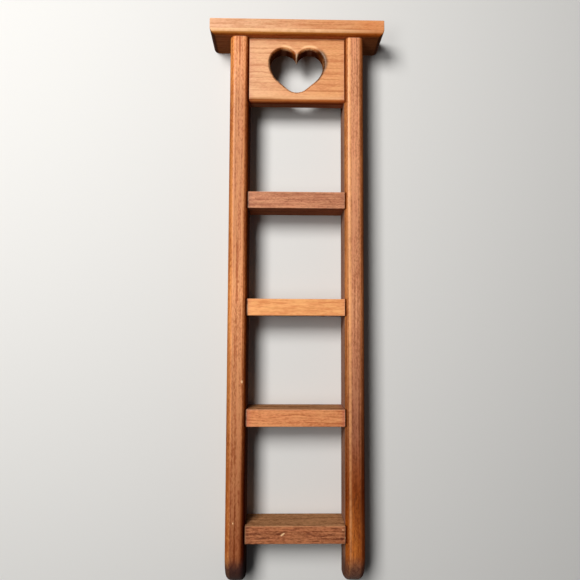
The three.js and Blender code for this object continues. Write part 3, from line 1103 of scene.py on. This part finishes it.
WOODS["right_rail"] = dict(
    RAIL_BOARD, seed=7.9, pale=tone(230, 160, 116), dark=tone(174, 109, 72),
    aged=[0.27, 0.15, 0.16], ridge_end=-690, round_age=0.2, grime_share=0.6,
    low_tint=[1.05, 0.76, 0.27], deep_amber=[0.62, 0.45, 0.26], shelter=(0, 0.5),
    ridge_share=0.35, crest=0.75, low_streaks=0.4, polished=tone(254, 180, 118),
    ageing=[(0.08, 0.45), (0.17, 0.9), (0.29, 0.66), (0.4, 0.4), (0.52, 0.04), (0.63, 0.26), (0.77, 0.08)],
)
print("steps of a rail's finish:", len(RAIL_BOARD["steps"]))

# %% [markdown]
# ## The wood between them
# The cap and the panel are pale with a few rings. The second shelf is a clear golden piece, and the
# lowest is open-pored, with short dark strokes.

# %% Cap and panel
WOODS["top_cap"] = dict(
    PLAIN_BOARD, seed=3.1, pale=tone(222, 156, 106), dark=tone(188, 120, 72),
    steps=(pale_left_fronts, soak_and_shade_cap_ends, paint_ridge_highlights),
    sapwood=[1.12, 1.38, 1.8], ridge_fade=0.75,
    ring=4.5, ring_strength=0.45, pith_across=-70, pith_down=40,
)
WOODS["heart_panel"] = dict(
    PLAIN_BOARD, seed=4.7, pale=tone(232, 166, 112), dark=tone(200, 130, 82),
    steps=(shade_board_ends, pale_left_fronts, cut_heart, paint_heart_rim_light, paint_lower_round_light, paint_ridge_highlights),
    sapwood=[1.02, 1.2, 1.5], deep_amber=[0.66, 0.4, 0.2],
    underside=[0.58, 0.46, 0.53], end_share=0.25, groove=0,
    ring=7, ring_strength=0.75, pith_across=160, pith_down=30, fibre_strength=1.1,
    waver=5, hair_share=0, pore_share=0.05, ridge_reach=0.86, ridge_share=0.35,
    polished=tone(254, 198, 146), chips=nicks(-32.5, (-20.2, -25.2, 0.9, 1)),
)

# %% Shelves
SHELF_BOARD = dict(
    PLAIN_BOARD, steps=(shade_board_ends,), amber=[1, 1, 1], deep_amber=[1, 1, 1], dulled_top=0.9,
    rubbed=tone(232, 178, 142), rubbed_share=0.5, end_share=0.6, groove=0.8,
)
WOODS["shelf_1"] = dict(
    SHELF_BOARD, seed=5.2, pale=tone(214, 148, 110), dark=tone(162, 102, 72),
    pore_share=0.4, pore_length=3.6, pore_width=0.9, pore_strength=0.5, ring=5,
    end_tint=[0.8, 0.76, 0.82], underside=[1.03, 0.88, 0.82],
)
WOODS["shelf_2"] = dict(
    SHELF_BOARD, seed=6.6, pale=tone(251, 181, 117), dark=tone(219, 140, 84),
    fleck_strength=1.4, fleck_length=6, pore_share=0.1, fibre_strength=1.1, mottle_strength=0.7,
)
WOODS["shelf_3"] = dict(
    SHELF_BOARD, seed=8.4, pale=tone(231, 155, 102), dark=tone(184, 107, 63),
    fleck_strength=1.3, sway=14, sway_length=45, ring=3.4, ring_strength=0.6,
    end_share=0.9, end_tint=[0.76, 0.62, 0.86],
)
WOODS["shelf_4"] = dict(
    SHELF_BOARD, seed=9.5, pale=tone(192, 122, 81), dark=tone(121, 66, 39),
    fleck_strength=1.5, rubbed=tone(196, 142, 106), pore=tone(84, 34, 22), pore_share=0.42,
    pore_length=7, pore_width=1, pore_strength=0.75, end_tint=[0.7, 0.72, 0.82],
    groove=0.4,
    pits=nicks(
        -38.8, (-3.3, -549.5, 3.4, 0.5), (-34.4, -558, 4.6, 0.5), (13.8, -553.5, 3.4, 0.6),
        (40.4, -553.6, 3.2, 0.5), (21.5, -561, 4.6, 0.6), (4, -561.7, 2.6, 0.6),
        (49.7, -558.7, 2.2, 1.5),
    ),
    chips=nicks(
        -38.8, (-14.6, -554.8, 1.1, 0.9), (-13.4, -553.9, 1.2, 1), (-12.2, -552.9, 1, 0.7),
        (50.8, -549.4, 0.6, 0.6), (53.2, -557.7, 0.5, 0.6),
    ),
)
print("kinds of wood:", len(WOODS))

# %% Varnish the boards
for name, board in boards.items():
    board.data.materials.clear()
    board.data.materials.append(varnished(name, dict(WOODS[name], box=BOX[name])))
    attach(board, "root")
    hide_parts(name)
print("varnished boards:", len(boards))

# %% [markdown]
# ## The dowels
# The dowels are beech, left bare so that the glue holds. They are already right in the frame, with
# their flutes and chamfers, so they only get a finish: pale wood with the short brown flecks that
# beech shows on its side, running along each dowel.

# %% Bare beech
BEECH_PALE = tone(226, 200, 164)
BEECH_DARK = tone(198, 164, 122)
BEECH_FLECK = tone(150, 108, 70)
BEECH_SEED = 12.5
BEECH_FIBRE = (18, 0.5)
BEECH_STROKE = (2, 0.35, 0.4)


def bare_beech(name, grain_runs_up):
    """Unvarnished dowel wood, with its grain along the dowel."""
    material, finish = new_material(name, BEECH_SEED)
    timber = Timber(finish, grain_runs_up)
    fibres = timber.noise(*BEECH_FIBRE, detail=3)
    flecks = timber.strokes(*BEECH_STROKE)
    colour = finish.mix(fibres.between(0.3, 0.7), BEECH_PALE, BEECH_DARK)
    colour = finish.mix(flecks * 0.5, colour, BEECH_FLECK)
    finish.show(finish.node("ShaderNodeBsdfPrincipled", {}, {
        "Base Color": colour,
        "Roughness": 0.68 + flecks * 0.1,
        "Normal": finish.bump(fibres * 0.04 - flecks * 0.03),
    }))
    return material


lying_beech = bare_beech("bare_beech_lying", False)
upright_beech = bare_beech("bare_beech_upright", True)
for name in DOWEL_NAMES:
    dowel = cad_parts[name]
    dowel.data.materials.clear()
    dowel.data.materials.append(upright_beech if name.startswith("cap") else lying_beech)
print("dowels with a finish:", len(DOWEL_NAMES))

# %% [markdown]
# ## The room
# A wall shelf needs a wall, so a pale one stands right behind it and takes its shadow, with a pale
# floor below. Seen from behind the wall is clear, so that the backs of the boards can be looked at.
# Neither throws its own light back at the wood, because a pale wall so close would fill every
# underside with light and flatten the rounds.

# %% Wall and floor
WALL_GAP = 0.3 * MM
FLOOR_DROP = 200 * MM
ROOM_SIZE = 4
WALL_TONE = tone(222, 221, 219)
FLOOR_TONE = tone(218, 216, 213)


def plane(name, corners):
    mesh = bpy.data.meshes.new(name)
    mesh.from_pydata(corners, [], [(0, 1, 2, 3)])
    sheet = linked(name, mesh)
    sheet.visible_diffuse = False
    return sheet


def pale_paint(name, colour, clear_from_behind):
    material, finish = new_material(name)
    shader = finish.node("ShaderNodeBsdfDiffuse", {}, {"Color": colour})
    if clear_from_behind:
        behind = finish.node("ShaderNodeNewGeometry").outputs()[6]
        clear = finish.node("ShaderNodeBsdfTransparent")
        shader = finish.node("ShaderNodeMixShader", {}, {0: behind, 1: shader, 2: clear})
    finish.show(shader)
    return material


wall_y = cad_bounds[1].y + WALL_GAP
floor_z = cad_bounds[0].z - FLOOR_DROP
left, right = -ROOM_SIZE, ROOM_SIZE
wall = plane("wall", [
    (left, wall_y, floor_z), (right, wall_y, floor_z), (right, wall_y, right), (left, wall_y, right),
])
wall.visible_shadow = False
wall.data.materials.append(pale_paint("wall_paint", WALL_TONE, True))
floor = plane("floor", [
    (left, left, floor_z), (right, left, floor_z), (right, right, floor_z), (left, right, floor_z),
])
floor.data.materials.append(pale_paint("floor_paint", FLOOR_TONE, False))
print("wall faces the camera:", wall.data.polygons[0].normal.y < 0)

# %% [markdown]
# ## The light
# Fronts are bright, tops and left sides have about half of that, and undersides and right sides are
# nearly dark. So the main lamp is soft, high and to the left. A tall narrow one below it draws the
# thin bright line down the left round of each rail, from far enough to the side to leave no glare on
# the flat faces. A slim lamp in line with the boards reaches only the outer side of the right rail. A
# sun behind the wall shines square on the back, without bounces, so that the front gets none of it.

# %% Lamps
WARM_WHITE = (1, 0.99, 0.97)
SUN_WIDTH = math.radians(4)


def soft_lamp(name, place, target, width, height, power):
    """A flat lamp that shines from a place towards a target, unseen by the camera itself."""
    lamp_data = bpy.data.lights.new(name, "AREA")
    lamp_data.shape = "RECTANGLE"
    lamp_data.size = width
    lamp_data.size_y = height
    lamp_data.energy = power
    lamp_data.color = WARM_WHITE
    lamp = linked(name, lamp_data)
    lamp.location = place
    lamp.rotation_mode = "QUATERNION"
    lamp.rotation_quaternion = (Vector(target) - Vector(place)).to_track_quat("-Z", "Y")
    lamp.visible_camera = False


soft_lamp("high_lamp", (-0.58, -1.24, 0.34), (0, 0, -0.26), 0.6, 0.6, 18.5)
soft_lamp("tall_lamp", (-0.64, -1.24, -0.22), (0, 0, -0.26), 0.42, 1.3, 8)
soft_lamp("side_lamp", (2, -0.02, -0.3), (0, -0.02, -0.3), 0.08, 0.5, 3.5)
back_light = bpy.data.lights.new("back_light", "SUN")
back_light.energy = 3
back_light.angle = SUN_WIDTH
back_light.cycles.max_bounces = 0
back_light.color = WARM_WHITE
back_lamp = linked("back_light", back_light)
back_lamp.rotation_euler = (math.radians(-90), 0, 0)
back_lamp.visible_glossy = False
print("lamps:", len(bpy.data.lights))

# %% World
FILL = 0.035
PALE_ROOM = tone(232, 232, 232)

bpy.context.scene.world = bpy.data.worlds.new("room")
bpy.context.scene.world.use_nodes = True
air = Finish(bpy.context.scene.world.node_tree)
rays = {socket.socket.name: socket for socket in air.node("ShaderNodeLightPath").outputs()}
shown = air.maths("MAXIMUM", rays["Is Camera Ray"], rays["Is Glossy Ray"])
shown = air.maths("MAXIMUM", shown, rays["Is Transmission Ray"])
fill = air.node("ShaderNodeBackground", {}, {"Color": (0.92, 0.96, 1, 1), "Strength": FILL})
pale = air.node("ShaderNodeBackground", {}, {"Color": PALE_ROOM, "Strength": 1})
sky = air.node("ShaderNodeMixShader", {}, {0: shown, 1: fill, 2: pale})
air.node("ShaderNodeOutputWorld", {}, {"Surface": sky})
bpy.context.scene.view_settings.view_transform = "Standard"
print("fill light:", FILL)
